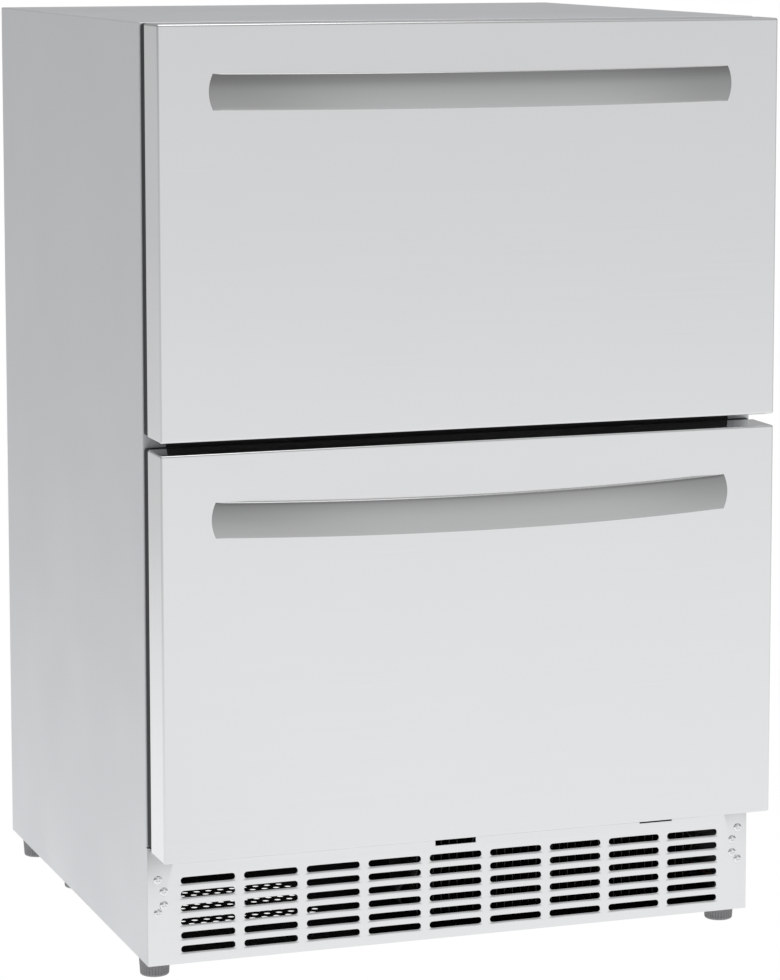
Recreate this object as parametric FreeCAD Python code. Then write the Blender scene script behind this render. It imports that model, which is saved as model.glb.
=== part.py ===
import FreeCAD, Part

import math
import os

from FreeCAD import Vector

# Under-counter refrigerator with two drawers. Millimetres, +Z up, +X to the right as the user
# faces the drawers, which slide out towards -Y. Until export Y is measured back from the
# cabinet's front plane, and Z up from the floor.

# ---- driving dimensions ----
CABINET_WIDTH = 595.0
CABINET_DEPTH = 534.0
CABINET_HEIGHT = 872.0
FOOT_HEIGHT = 16.0
SHEET = 1.0
HALF = CABINET_WIDTH / 2
HALF_INSIDE = HALF - SHEET
FLANGE_WIDTH = 22.0
HALF_FLANGE = HALF - FLANGE_WIDTH
REAR = 531.0

GRILLE_SHEET = 1.2
PAN_SHEET = 0.8
FACE_Y = 4.5
GRILLE_TOP = 126.0
SLOT_COLUMNS = 9
SLOT_PITCH_X = 60.15
SLOT_LENGTH = 51.4
SLOT_HEIGHT = 6.0
SLOT_ROWS = 6
SLOT_TOP_ROW = 93.6
SLOT_PITCH_Z = 12.8
TAB_SLOTS = ((0.0, 40.0, 104.9), (202.8, 33.0, 108.6))
TAB_SLOT_HEIGHT = 6.0
GRILLE_SCREWS = ((288.0, 96.0), (282.4, 84.8), (282.4, 72.2), (288.0, 65.2))

PERFORATION_RADIUS = 3.4
PERFORATION_PITCH = (12.0, 10.8)
PERFORATION_COUNT = (16, 13)
PERFORATION_CORNER = (-275.0, 113.0)

BAY_CEILING = 200.0
BAY_STEP_Y = 326.0
LINER_HALF = 255.5
LINER_WALL = 2.0
LINER_BACK = 489.0
LINER_FLOOR = 166.0
LINER_CEILING = 830.0
HUMP_Y = 290.0
HUMP_TOP = 236.0
MULLION = (472.0, 524.0)

FRONT_HALF = 296.5
FRONT_Y = (-52.4, -10.4)
FRONT_INNER_SHEET = 4.0
PLUG_HALF = 242.0
PLUG_BACK = 4.0
GASKET_INSET = 0.4
GASKET_WIDTH = 14.0
GASKET_BACK = FACE_Y - 0.3

HANDLE_HALF = 250.0
HANDLE_PROUD = 39.5
HANDLE_HEIGHT = 32.4
HANDLE_CROWN = 1.15
HANDLE_GAP_HALF = 215.0
HANDLE_GAP = 30.0
HANDLE_SCREW_X = 219.0

BOX_HALF = 242.8
BOX_WALL = 2.0
BOX_BACK = 424.0
SLIDE_Y = (10.0, 410.0)

DRAWERS = {
    "top": {
        "front": (503.4, 871.7),
        "plug": (534.0, 820.0),
        "handle": 812.25,
        "box": (536.0, 770.0),
        "slide": 640.0,
    },
    "bottom": {
        "front": (123.8, 492.8),
        "plug": (176.0, 462.0),
        "handle": 432.7,
        "box": (178.0, 400.0),
        "slide": 268.0,
    },
}
BOX_STEP_Y = 282.0
BOX_STEP_Z = 246.0

FOOT_PLACES = {
    "front": (283.0, 31.7),
    "middle": (274.0, 351.0),
    "rear": (283.0, 485.5),
}
FOOT_RADII = (13.6, 14.4)
FOOT_STUD = 4.0
FOOT_RIDGES = 30

COMPRESSOR = (110.0, 430.0)
COMPRESSOR_RADIUS = 65.0
MOUNT_SPACING = (65.0, 45.0)
CONDENSER_FAN = (115.0, 72.0)
EVAPORATOR_FAN = (120.0, 690.0)
LINE_RADIUS = 3.0
LINE_BEND = 8.0
KNOB = (60.0, 818.0)

# The row's origin is under the middle of the whole fridge, handles included.
ORIGIN_Y = (FRONT_Y[0] - HANDLE_PROUD + CABINET_DEPTH) / 2

DISCHARGE_LINE = (
    (90, 350, 100), (90, 240, 100), (284, 240, 108), (284, 50, 108), (274, 50, 108),
)
LIQUID_LINE = (
    (274, 50, 36), (284, 50, 36), (284, 130, 36), (235, 155, 60), (235, 180, 60),
)
CAPILLARY_LINE = (
    (235, 290, 60), (235, 510, 60), (235, 510, 600), (36, 510, 600), (36, 460, 600), (24, 460, 600),
)
SUCTION_LINE = (
    (80, 500, 110), (80, 512, 110), (80, 512, 632), (80, 462, 632), (24, 462, 632),
)


# ---- shape helpers ----
def block(x, y, z):
    """A box given as its (low, high) limits along X, Y and Z."""
    return Part.makeBox(x[1] - x[0], y[1] - y[0], z[1] - z[0], Vector(x[0], y[0], z[0]))


def both(half):
    """Limits at the same distance either side of the middle plane."""
    return (-half, half)


def rod(radius, start, end):
    """A round bar between two points."""
    start, end = Vector(*start), Vector(*end)
    return Part.makeCylinder(radius, (end - start).Length, start, end - start)


def rod_y(radius, centre, y):
    """A round bar along Y about the point (x, z) named centre."""
    return rod(radius, (centre[0], y[0], centre[1]), (centre[0], y[1], centre[1]))


def rod_z(radius, centre, z):
    """A round bar along Z about the point (x, y) named centre."""
    return rod(radius, (centre[0], centre[1], z[0]), (centre[0], centre[1], z[1]))


def stadium(centre, length, height, y):
    """A round-ended bar of section length by height, standing along Y."""
    reach = (length - height) / 2
    middle = block(
        (centre[0] - reach, centre[0] + reach), y, (centre[1] - height / 2, centre[1] + height / 2)
    )
    ends = [rod_y(height / 2, (centre[0] + side * reach, centre[1]), y) for side in (-1, 1)]
    return middle.fuse(ends).removeSplitter()


def tray(x, y, z, wall):
    """A box open at the top, with walls and floor of one thickness."""
    inside = block((x[0] + wall, x[1] - wall), (y[0] + wall, y[1] - wall), (z[0] + wall, z[1] + wall))
    return block(x, y, z).cut(inside)


def bent_tube(points, radius, bend):
    """A round tube along straight runs that tangent arcs of one radius join."""
    points = [Vector(*point) for point in points]
    edges = []
    start = points[0]
    for before, corner, after in zip(points, points[1:], points[2:]):
        into = (corner - before).normalize()
        out = (after - corner).normalize()
        half_turn = into.getAngle(out) / 2
        reach = bend * math.tan(half_turn)
        inward = (out - into).normalize()
        middle = corner + inward * (bend / math.cos(half_turn) - bend)
        arc_start = corner - into * reach
        arc_end = corner + out * reach
        edges.append(Part.LineSegment(start, arc_start).toShape())
        edges.append(Part.Arc(arc_start, middle, arc_end).toShape())
        start = arc_end
    edges.append(Part.LineSegment(start, points[-1]).toShape())
    section = Part.Wire(Part.makeCircle(radius, points[0], points[1] - points[0]))
    return Part.Wire(edges).makePipeShell([section], True, True)


def edges_along(shape, direction, test):
    """The straight edges of a shape that run along a direction and whose middle passes a test."""
    found = []
    for edge in shape.Edges:
        run = edge.valueAt(edge.LastParameter) - edge.valueAt(edge.FirstParameter)
        straight = abs(run.Length - edge.Length) < 1e-6
        if straight and abs(abs(run.normalize().dot(direction)) - 1) < 1e-6:
            if test(edge.CenterOfMass):
                found.append(edge)
    return found


# ---- cabinet ----
def outer_wrapper():
    """Sides, top and the flanges folded in round the front; open at the back and below."""
    shell = block(both(HALF), (0, CABINET_DEPTH), (FOOT_HEIGHT, CABINET_HEIGHT))
    inside = block(
        both(HALF_INSIDE), (FACE_Y + SHEET, CABINET_DEPTH), (FOOT_HEIGHT, CABINET_HEIGHT - SHEET)
    )
    mouth = block(both(HALF_FLANGE), (0, FACE_Y + SHEET), (FOOT_HEIGHT, CABINET_HEIGHT - FLANGE_WIDTH))
    set_back = block(both(HALF), (0, FACE_Y), (GRILLE_TOP, CABINET_HEIGHT))
    foot_space = block(both(HALF_INSIDE), (0, FACE_Y + SHEET), (FOOT_HEIGHT, GRILLE_TOP))
    grille_notch = block(both(HALF), (0, GRILLE_SHEET), (FOOT_HEIGHT, GRILLE_TOP))
    return shell.cut([inside, mouth, set_back, foot_space, grille_notch])


def front_grille():
    """Slotted plate across the foot of the cabinet, with a stiffening lip along its top."""
    plate = block(both(HALF), (0, GRILLE_SHEET), (FOOT_HEIGHT, GRILLE_TOP))
    lip = block(both(HALF_FLANGE - 1.5), (GRILLE_SHEET, 12), (GRILLE_TOP - GRILLE_SHEET, GRILLE_TOP))
    through = (-1, GRILLE_SHEET + 1)
    cutters = []
    for column in range(SLOT_COLUMNS):
        x = (column - (SLOT_COLUMNS - 1) / 2) * SLOT_PITCH_X
        for row in range(SLOT_ROWS):
            z = SLOT_TOP_ROW - row * SLOT_PITCH_Z
            cutters.append(stadium((x, z), SLOT_LENGTH, SLOT_HEIGHT, through))
    for x, length, bottom in TAB_SLOTS:
        cutters.append(
            block((x - length / 2, x + length / 2), through, (bottom, bottom + TAB_SLOT_HEIGHT))
        )
    cutters += [rod_y(1.6, (side * x, z), through) for x, z in GRILLE_SCREWS for side in (-1, 1)]
    return plate.fuse(lip).cut(cutters)


def base_pan():
    """Floor sheet with an air-intake perforation, front ears, a rear lip and nuts for the feet."""
    z = (FOOT_HEIGHT, FOOT_HEIGHT + PAN_SHEET)
    pan = block(both(HALF_INSIDE), (GRILLE_SHEET, REAR), z)
    rear_lip = block(both(280), (REAR - GRILLE_SHEET, REAR), (z[1], 32))
    ears = [
        block((side[0], side[1]), (GRILLE_SHEET, 2 * GRILLE_SHEET), (z[1], GRILLE_TOP))
        for side in ((HALF_FLANGE, HALF_INSIDE), (-HALF_INSIDE, -HALF_FLANGE))
    ]
    nuts = [rod_z(8, place, (z[1], z[1] + 6)) for place in foot_centres().values()]
    pan = pan.fuse([rear_lip] + ears + nuts)
    cutters = [
        rod_z(FOOT_STUD + 0.3, place, (0, 40)) for place in foot_centres().values()
    ]
    for row in range(PERFORATION_COUNT[1]):
        for column in range(PERFORATION_COUNT[0] - row % 2):
            x = PERFORATION_CORNER[0] + (column + 0.5 * (row % 2)) * PERFORATION_PITCH[0]
            y = PERFORATION_CORNER[1] + row * PERFORATION_PITCH[1]
            cutters.append(rod_z(PERFORATION_RADIUS, (x, y), (z[0] - 1, z[1] + 1)))
    cutters += [rod_y(1.6, (side * x, zs), (0, 5)) for x, zs in GRILLE_SCREWS for side in (-1, 1)]
    cutters += [rod_y(1.6, (x, REAR_SCREW_ROWS[0]), (REAR - 5, REAR + 5)) for x in REAR_SCREW_COLUMNS]
    cutters += [rod_z(2.2, place, (z[0] - 1, z[1] + 1)) for place in mount_centres()]
    return pan.cut(cutters)


def foot_centres():
    """Each foot's (x, y) by name."""
    return {
        f"foot_{row}_{name}": (side * x, y)
        for row, (x, y) in FOOT_PLACES.items()
        for name, side in (("left", -1), ("right", 1))
    }


def mount_centres():
    """The (x, y) of the compressor's four mounts."""
    return [
        (COMPRESSOR[0] + i * MOUNT_SPACING[0], COMPRESSOR[1] + j * MOUNT_SPACING[1])
        for i in (-1, 1)
        for j in (-1, 1)
    ]


def compartment_roof():
    """Stepped sheet that parts the cold space from the machine space below and behind it."""
    t = GRILLE_SHEET
    front = FACE_Y + 2 * t
    low = block(both(HALF_INSIDE), (front, BAY_STEP_Y + t), (GRILLE_TOP + 0.8, GRILLE_TOP + 2))
    riser = block(both(HALF_INSIDE), (BAY_STEP_Y, BAY_STEP_Y + t), (GRILLE_TOP + 2, BAY_CEILING + t))
    high = block(both(HALF_INSIDE), (BAY_STEP_Y, REAR), (BAY_CEILING, BAY_CEILING + t))
    lip = block(both(280), (REAR - t, REAR), (BAY_CEILING - 15, BAY_CEILING))
    holes = [rod_y(1.6, (x, REAR_SCREW_ROWS[1]), (REAR - 5, REAR + 5)) for x in REAR_SCREW_COLUMNS]
    return low.fuse([riser, high, lip]).cut(holes + line_clearances())


REAR_SCREW_COLUMNS = (-270.0, -90.0, 90.0, 270.0)
REAR_SCREW_ROWS = (25.0, 192.5)


def line_clearances():
    """Passages for the two refrigerant lines that climb to the evaporator."""
    return [bent_tube(path, LINE_RADIUS + 1.5, LINE_BEND) for path in (CAPILLARY_LINE, SUCTION_LINE)]


def liner_solid(grow, back, front):
    """The cold space, grown outwards by a thickness, with the hump over the machine space."""
    cavity = block(
        both(LINER_HALF + grow), (front, back), (LINER_FLOOR - grow, LINER_CEILING + grow)
    )
    hump = block(both(LINER_HALF + grow), (HUMP_Y + grow, back), (LINER_FLOOR - grow, HUMP_TOP - grow))
    return cavity.cut(hump)


def liner_lip():
    """The liner's rim, which closes the space between its mouth and the front flanges."""
    depth = (FACE_Y, FACE_Y + LINER_WALL)
    rim = block(both(HALF_FLANGE), depth, (GRILLE_TOP, CABINET_HEIGHT - FLANGE_WIDTH))
    mouth = block(both(LINER_HALF), depth, (LINER_FLOOR, LINER_CEILING))
    return rim.cut([mouth, block(both(HALF_FLANGE), depth, MULLION)])


def inner_liner():
    """Moulded liner of the cold space, with its front rim."""
    walls = liner_solid(LINER_WALL, LINER_BACK + LINER_WALL, FACE_Y)
    shell = walls.cut(liner_solid(0, LINER_BACK, 0)).fuse(liner_lip())
    mullion_space = block(both(HALF_FLANGE), (FACE_Y, FACE_Y + LINER_WALL), MULLION)
    return shell.cut([mullion_space] + line_clearances())


def foam_insulation():
    """Foam that fills the walls between the wrapper, the liner, the back and the roof sheet."""
    body = block(both(HALF_INSIDE), (FACE_Y + SHEET, REAR), (GRILLE_TOP + 2, CABINET_HEIGHT - SHEET))
    bay = block(both(HALF), (BAY_STEP_Y, REAR), (GRILLE_TOP, BAY_CEILING + GRILLE_SHEET))
    rim_space = block(
        both(HALF_FLANGE), (0, FACE_Y + LINER_WALL), (GRILLE_TOP, CABINET_HEIGHT - FLANGE_WIDTH)
    )
    hollow = liner_solid(LINER_WALL, LINER_BACK + LINER_WALL, 0)
    return body.cut([bay, rim_space, hollow] + line_clearances())


def centre_mullion():
    """Cross bar between the two drawer openings: a black face and a narrower body behind."""
    face = block(both(HALF_FLANGE), (FACE_Y, FACE_Y + LINER_WALL), MULLION)
    body = block(both(LINER_HALF), (FACE_Y + LINER_WALL, 35), (MULLION[0] + 4, MULLION[1] - 4))
    return face.fuse(body)


def rear_panel():
    """Flat sheet that closes the foamed back, with two pressed stiffening ribs."""
    sheet = block(both(HALF_INSIDE), (REAR, REAR + SHEET), (BAY_CEILING + 1.2, CABINET_HEIGHT - SHEET))
    ribs = [
        block((x - 12, x + 12), (REAR + SHEET, REAR + 2 * SHEET), (260, 820)) for x in (-150, 150)
    ]
    return sheet.fuse(ribs)


def rear_vent_cover():
    """Slotted cover over the back of the machine space, with the opening for the power inlet."""
    cover = block(both(HALF_INSIDE), (REAR, REAR + SHEET), (16.5, BAY_CEILING + 0.6))
    through = (REAR - 1, REAR + 2)
    cutters = []
    for column in range(8):
        for row in range(9):
            centre = (-150 + column * 58, 52 + row * 14)
            cutters.append(stadium(centre, 44, 6, through))
    cutters.append(block((-244.2, -215.8), through, (49.8, 70.2)))
    cutters += [rod_y(1.6, (x, z), through) for x in REAR_SCREW_COLUMNS for z in REAR_SCREW_ROWS]
    return cover.cut(cutters)


def pan_head_screw(centre, face_y, outward):
    """A cross-recessed pan-head screw at (x, z), driven in against the outward direction."""
    inner = face_y - outward * 7
    tip = (centre[0], inner, centre[1])
    seat = (centre[0], face_y, centre[1])
    top = (centre[0], face_y + outward * 1.2, centre[1])
    screw = rod(1.5, tip, seat).fuse(rod(4.0, seat, top))
    low, high = sorted((face_y + outward * 0.5, face_y + outward * 2))
    cross = [
        block((centre[0] - a, centre[0] + a), (low, high), (centre[1] - b, centre[1] + b))
        for a, b in ((2.0, 0.45), (0.45, 2.0))
    ]
    return screw.cut(cross)


def panel_screws():
    """The screws of the front grille and of the rear vent cover."""
    front = [pan_head_screw((side * x, z), 0, -1) for x, z in GRILLE_SCREWS for side in (-1, 1)]
    rear = [
        pan_head_screw((x, z), REAR + SHEET, 1) for x in REAR_SCREW_COLUMNS for z in REAR_SCREW_ROWS
    ]
    return Part.makeCompound(front + rear)


def foot(centre):
    """Levelling foot: a ridged, tapered disc with a stud that screws into the base pan."""
    cone = Part.makeCone(FOOT_RADII[0], FOOT_RADII[1], FOOT_HEIGHT, Vector(0, 0, 0))
    cone = cone.makeFillet(1.5, [e for e in cone.Edges if e.BoundBox.ZMax < 0.01])
    grooves = []
    for index in range(FOOT_RIDGES):
        angle = 2 * math.pi * index / FOOT_RIDGES
        low = (FOOT_RADII[0] + 0.3) * math.cos(angle), (FOOT_RADII[0] + 0.3) * math.sin(angle), 2.5
        high = (
            (FOOT_RADII[1] + 0.3) * math.cos(angle),
            (FOOT_RADII[1] + 0.3) * math.sin(angle),
            FOOT_HEIGHT + 1,
        )
        grooves.append(rod(0.8, low, high))
    body = cone.cut(grooves).fuse(rod_z(FOOT_STUD, (0, 0), (FOOT_HEIGHT, 38)))
    body.translate(Vector(centre[0], centre[1], 0))
    return body


# ---- machine space ----
def compressor():
    """Hermetic compressor: a welded steel pot with its base plate and pipe stubs."""
    r = COMPRESSOR_RADIUS
    pot = rod_z(r, (0, 0), (31, 178))
    pot = pot.makeFillet(30, [e for e in pot.Edges if e.BoundBox.ZMin > 177])
    pot = pot.makeFillet(12, [e for e in pot.Edges if e.BoundBox.ZMax < 32])
    seam = rod_z(r + 2.5, (0, 0), (120, 124))
    plate = block(both(MOUNT_SPACING[0] + 15), both(MOUNT_SPACING[1] + 12), (30, 32.5))
    holes = [
        rod_z(6, (i * MOUNT_SPACING[0], j * MOUNT_SPACING[1]), (29, 33)) for i in (-1, 1) for j in (-1, 1)
    ]
    body = pot.fuse([seam, plate.cut(holes)])
    body.translate(Vector(COMPRESSOR[0], COMPRESSOR[1], 0))
    stubs = [
        rod(4, (DISCHARGE_LINE[0][0], 390, 100), DISCHARGE_LINE[0]),
        rod(4, (SUCTION_LINE[0][0], 460, 110), SUCTION_LINE[0]),
    ]
    return body.fuse(stubs)


def compressor_mounts():
    """Four rubber mounts with a neck through the base plate, each with its bolt."""
    mounts = []
    for place in mount_centres():
        rubber = rod_z(11, place, (FOOT_HEIGHT + PAN_SHEET, 30))
        neck = rod_z(5.7, place, (30, 32.5))
        washer = rod_z(9, place, (32.5, 34.5))
        bolt = rod_z(2, place, (FOOT_HEIGHT, 42))
        mounts.append(rubber.fuse([neck, washer, bolt]))
    return Part.makeCompound(mounts)


def compressor_terminal_cover():
    """Box on the compressor's side over its terminals and overload switch."""
    x = COMPRESSOR[0] + COMPRESSOR_RADIUS + 3
    cover = block((x, x + 24), (COMPRESSOR[1] - 25, COMPRESSOR[1] + 25), (64, 124))
    saddle = block((x - 12, x), (COMPRESSOR[1] - 15, COMPRESSOR[1] + 15), (70, 100))
    pot = rod_z(COMPRESSOR_RADIUS, COMPRESSOR, (60, 103.9))
    upright = edges_along(cover, Vector(0, 0, 1), lambda c: c.x > x + 20)
    return cover.makeFillet(5, upright).fuse(saddle).cut(pot)


def finned_coil(fins, y, z, tube_path, tube_radius, bend):
    """A serpentine tube pressed through a row of flat fins."""
    tube = bent_tube(tube_path, tube_radius, bend)
    plates = [block((x, x + 0.8), y, z) for x in fins]
    return tube.fuse(plates)


def serpentine(x, y, levels):
    """A path that runs to and fro along X, one run at each level."""
    path = []
    for index, z in enumerate(levels):
        ends = (x[1], x[0]) if index % 2 == 0 else (x[0], x[1])
        path += [(ends[0], y, z), (ends[1], y, z)]
    return path


def condenser_coil():
    """Finned condenser behind the right-hand half of the grille."""
    levels = (108, 84, 60, 36)
    path = serpentine((-40, 262), 50, levels)
    path[0] = (274, 50, 108)
    path[-1] = (274, 50, 36)
    return finned_coil([-28 + 8 * i for i in range(35)], (30, 70), (24, 120), path, 4.0, 10.0)


def fan_shroud(centre, y, radius, plate):
    """Square plate with a round throat, and a three-armed spider behind it."""
    face = block(plate[0], (y[0], y[0] + 1.5), plate[1])
    ring = rod_y(radius + 3, centre, (y[0] + 1.5, y[1]))
    bore = rod_y(radius, centre, (y[0] - 1, y[1] + 1))
    arms = []
    for index in range(3):
        angle = math.radians(90 + 120 * index)
        arm = block((12, radius + 2), (y[1] - 3, y[1]), (-3, 3))
        arm.rotate(Vector(0, 0, 0), Vector(0, 1, 0), -math.degrees(angle))
        arm.translate(Vector(centre[0], 0, centre[1]))
        arms.append(arm)
    boss = rod_y(14, centre, (y[1] - 3, y[1]))
    shaft_hole = rod_y(6, centre, (y[1] - 4, y[1] + 1))
    return face.fuse(ring).cut(bore).fuse(arms + [boss]).cut(shaft_hole)


def condenser_fan_shroud():
    """Shroud that draws air through the condenser."""
    return fan_shroud(CONDENSER_FAN, (72, 106), 44.0, ((-40, 270), (24, 120)))


def fan_motor(centre, y, radius):
    """Round motor with a shaft hole along its axis."""
    can = rod_y(radius, centre, y)
    can = can.makeFillet(3, [e for e in can.Edges if e.Curve.TypeId == "Part::GeomCircle"])
    nose = rod_y(8, centre, (y[0] - 2, y[0] + 4))
    bore = rod_y(2.1, centre, (y[0] - 3, y[0] + 20))
    return can.fuse(nose).cut(bore)


def condenser_fan_motor():
    """Motor bolted to the back of the condenser fan's spider."""
    can = rod_y(22, CONDENSER_FAN, (106, 142))
    rear = [e for e in can.Edges if abs(e.BoundBox.YMin - 142) < 0.01 and abs(e.BoundBox.YMax - 142) < 0.01]
    return can.makeFillet(4, rear).cut(rod_y(2.1, CONDENSER_FAN, (105, 126)))


def fan_blade(centre, y, radius, shaft_end):
    """Hub, five pitched blades and the shaft that turns with them."""
    middle = (y[0] + y[1]) / 2
    hub = rod_y(12, centre, y)
    envelope = rod_y(radius, centre, y)
    blades = []
    for index in range(5):
        blade = block((8, radius + 5), (-0.75, 0.75), (-13, 13))
        blade.rotate(Vector(0, 0, 0), Vector(1, 0, 0), 32)
        blade.translate(Vector(0, middle, 0))
        blade.rotate(Vector(0, 0, 0), Vector(0, 1, 0), 72 * index)
        blade.translate(Vector(centre[0], 0, centre[1]))
        blades.append(blade.common(envelope))
    return hub.fuse(blades).fuse(rod_y(2.0, centre, (y[1], shaft_end)))


def condenser_fan_blade():
    """Fan wheel of the condenser, with its shaft."""
    return fan_blade(CONDENSER_FAN, (82, 98), 41.0, 124)


def drain_pan():
    """Shallow tray on the base pan that catches and evaporates the defrost water."""
    return tray((-258, -60), (350, 500), (FOOT_HEIGHT + PAN_SHEET, 46), 1.5)


def filter_drier():
    """Copper filter drier between the condenser and the capillary line."""
    x, z = LIQUID_LINE[-1][0], LIQUID_LINE[-1][2]
    y = (LIQUID_LINE[-1][1], CAPILLARY_LINE[0][1])
    body = rod_y(9, (x, z), (y[0] + 20, y[1] - 20))
    necks = [
        Part.makeCone(3.5, 9, 12, Vector(x, y[0] + 8, z), Vector(0, 1, 0)),
        Part.makeCone(9, 3.5, 12, Vector(x, y[1] - 20, z), Vector(0, 1, 0)),
        rod_y(3.5, (x, z), (y[0], y[0] + 8)),
        rod_y(3.5, (x, z), (y[1] - 8, y[1])),
    ]
    return body.fuse(necks)


def refrigerant_lines():
    """Copper lines: discharge, liquid, capillary and suction."""
    paths = (DISCHARGE_LINE, LIQUID_LINE, CAPILLARY_LINE, SUCTION_LINE)
    return Part.makeCompound([bent_tube(path, LINE_RADIUS, LINE_BEND) for path in paths])


def power_inlet():
    """Recessed three-pin appliance inlet in the rear cover."""
    body = block((-244, -216), (506, REAR + SHEET), (50, 70))
    flange = block((-248, -212), (REAR + SHEET, REAR + 2.2), (46, 74))
    cavity = block((-242, -218), (512, REAR + 3), (52, 68))
    pins = [
        block((x - 1, x + 1), (512, 526), (z - 2, z + 2)) for x, z in ((-237, 58), (-230, 63), (-223, 58))
    ]
    return body.fuse(flange).cut(cavity).fuse(pins)


# ---- cold space ----
def evaporator_coil():
    """Finned evaporator on the back wall of the cold space."""
    levels = (632, 664, 696, 728, 760, 792)
    front = serpentine((-178, 10), 462, levels)
    front[0] = (24, 462, 632)
    rear = ((24, 460, 600), (-185, 460, 600), (-185, 472, 616), (-185, 472, 800))
    fins = [-172 + 9 * i for i in range(21)]
    coil = finned_coil(fins, (446, 482), (586, 806), front, 4.0, 12.0)
    return coil.fuse(bent_tube(rear, 4.0, 5.0))


def evaporator_cover():
    """Cover over the evaporator, with a fan outlet and return slots in its face."""
    half, y, z = 200, (430, LINER_BACK), (560, 825)
    box = block(both(half), y, z)
    front = edges_along(box, Vector(0, 0, 1), lambda c: c.y < y[0] + 1)
    front += edges_along(box, Vector(1, 0, 0), lambda c: c.y < y[0] + 1)
    box = box.makeFillet(6, front)
    hollow = block(both(half - 2), (y[0] + 2, y[1]), (z[0] + 2, z[1] - 2))
    through = (y[0] - 1, y[0] + 3)
    cutters = []
    for index in range(16):
        spoke = block((14, 42), through, both(2.2))
        spoke.rotate(Vector(0, 0, 0), Vector(0, 1, 0), 22.5 * index)
        spoke.translate(Vector(EVAPORATOR_FAN[0], 0, EVAPORATOR_FAN[1]))
        cutters.append(spoke)
    for column in range(4):
        for row in range(3):
            cutters.append(stadium((-160 + 52 * column, 580 + 12 * row), 40, 5, through))
    return box.cut([hollow] + cutters)


def evaporator_fan_motor():
    """Motor of the evaporator fan, fixed to the back of the liner."""
    return fan_motor(EVAPORATOR_FAN, (464, LINER_BACK), 20)


def evaporator_fan_blade():
    """Fan wheel of the evaporator, with its shaft."""
    return fan_blade(EVAPORATOR_FAN, (440, 455), 42.0, 478)


def interior_light():
    """Light bar on the ceiling of the cold space."""
    bar = block(both(150), (140, 160), (822, LINER_CEILING))
    return bar.makeFillet(3, edges_along(bar, Vector(1, 0, 0), lambda c: c.z < 823))


def control_housing():
    """Thermostat housing on the ceiling, with the knob's shaft hole in its front."""
    housing = block(both(100), (40, 120), (806, LINER_CEILING))
    lower = edges_along(housing, Vector(1, 0, 0), lambda c: c.z < 807)
    housing = housing.makeFillet(4, lower)
    return housing.cut(rod_y(3.1, KNOB, (39, 54)))


def control_knob():
    """Temperature knob with a pointer ridge, on the shaft that turns with it."""
    knob = Part.makeCone(11, 9, 11, Vector(KNOB[0], 39.5, KNOB[1]), Vector(0, -1, 0))
    ridge = block((KNOB[0] - 1.5, KNOB[0] + 1.5), (26, 29), (KNOB[1] - 8, KNOB[1] + 8))
    return knob.fuse([ridge, rod_y(3.0, KNOB, (39.5, 52))])


# ---- slides ----
def rail(side, level, web, arms, half, thickness=1.2):
    """A C-shaped rail along Y. Distances are measured in from the liner's side wall."""
    def strip(reach, z):
        x = sorted((side * (LINER_HALF - reach[0]), side * (LINER_HALF - reach[1])))
        return block(x, SLIDE_Y, z)

    upright = strip(web, (level - half, level + half))
    upper = strip(arms, (level + half - thickness, level + half))
    lower = strip(arms, (level - half, level - half + thickness))
    return upright.fuse([upper, lower]).removeSplitter()


def cabinet_rail(side, level):
    """The slide's fixed member, on the liner's side wall."""
    return rail(side, level, (0, 1.2), (1.2, 9.5), 22.5)


def middle_rail(side, level):
    """The slide's middle member, which runs at half the drawer's travel."""
    return rail(side, level, (4.6, 5.8), (1.9, 9.0), 20.3)


def drawer_rail(side, level):
    """The slide's inner member, on the side of the drawer box."""
    return rail(side, level, (11.2, LINER_HALF - BOX_HALF), (6.6, 11.2), 17.5)


# ---- drawers ----
def front_skin(drawer):
    """Folded steel pan that faces the drawer."""
    z = drawer["front"]
    pan = block(both(FRONT_HALF), FRONT_Y, z)
    rounded = edges_along(pan, Vector(1, 0, 0), lambda c: c.y < FRONT_Y[0] + 1)
    rounded += edges_along(pan, Vector(0, 0, 1), lambda c: c.y < FRONT_Y[0] + 1)
    rounded += edges_along(pan, Vector(0, 1, 0), lambda c: True)
    pan = pan.makeFillet(1.4, rounded)
    hollow = block(
        both(FRONT_HALF - SHEET), (FRONT_Y[0] + SHEET, FRONT_Y[1]), (z[0] + SHEET, z[1] - SHEET)
    )
    return pan.cut([hollow] + handle_screw_holes(drawer))


def handle_screw_holes(drawer):
    """Clearance for the handle's screws and the pockets for their heads."""
    holes = []
    for x in (-HANDLE_SCREW_X, HANDLE_SCREW_X):
        centre = (x, drawer["handle"])
        holes.append(rod_y(2.7, centre, (FRONT_Y[0] - 7.5, 0.5)))
        holes.append(rod_y(5.2, centre, (0, PLUG_BACK)))
    return holes


def front_core(drawer):
    """Foam that fills the drawer front and its plug."""
    z, plug = drawer["front"], drawer["plug"]
    slab = block(
        both(FRONT_HALF - SHEET),
        (FRONT_Y[0] + SHEET, FRONT_Y[1] - FRONT_INNER_SHEET),
        (z[0] + SHEET, z[1] - SHEET),
    )
    fill = block(
        both(PLUG_HALF - 2), (FRONT_Y[1] - FRONT_INNER_SHEET, PLUG_BACK - 2), (plug[0] + 2, plug[1] - 2)
    )
    return slab.fuse(fill).cut(handle_screw_holes(drawer))


def front_inner(drawer):
    """Moulded back of the drawer front, with the plug that enters the opening."""
    z, plug = drawer["front"], drawer["plug"]
    back = FRONT_Y[1] - FRONT_INNER_SHEET
    plate = block(both(FRONT_HALF - SHEET), (back, FRONT_Y[1]), (z[0] + SHEET, z[1] - SHEET))
    bulge = block(both(PLUG_HALF), (FRONT_Y[1], PLUG_BACK), plug)
    fill = block(both(PLUG_HALF - 2), (back, PLUG_BACK - 2), (plug[0] + 2, plug[1] - 2))
    return plate.fuse(bulge).cut([fill] + handle_screw_holes(drawer))


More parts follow.
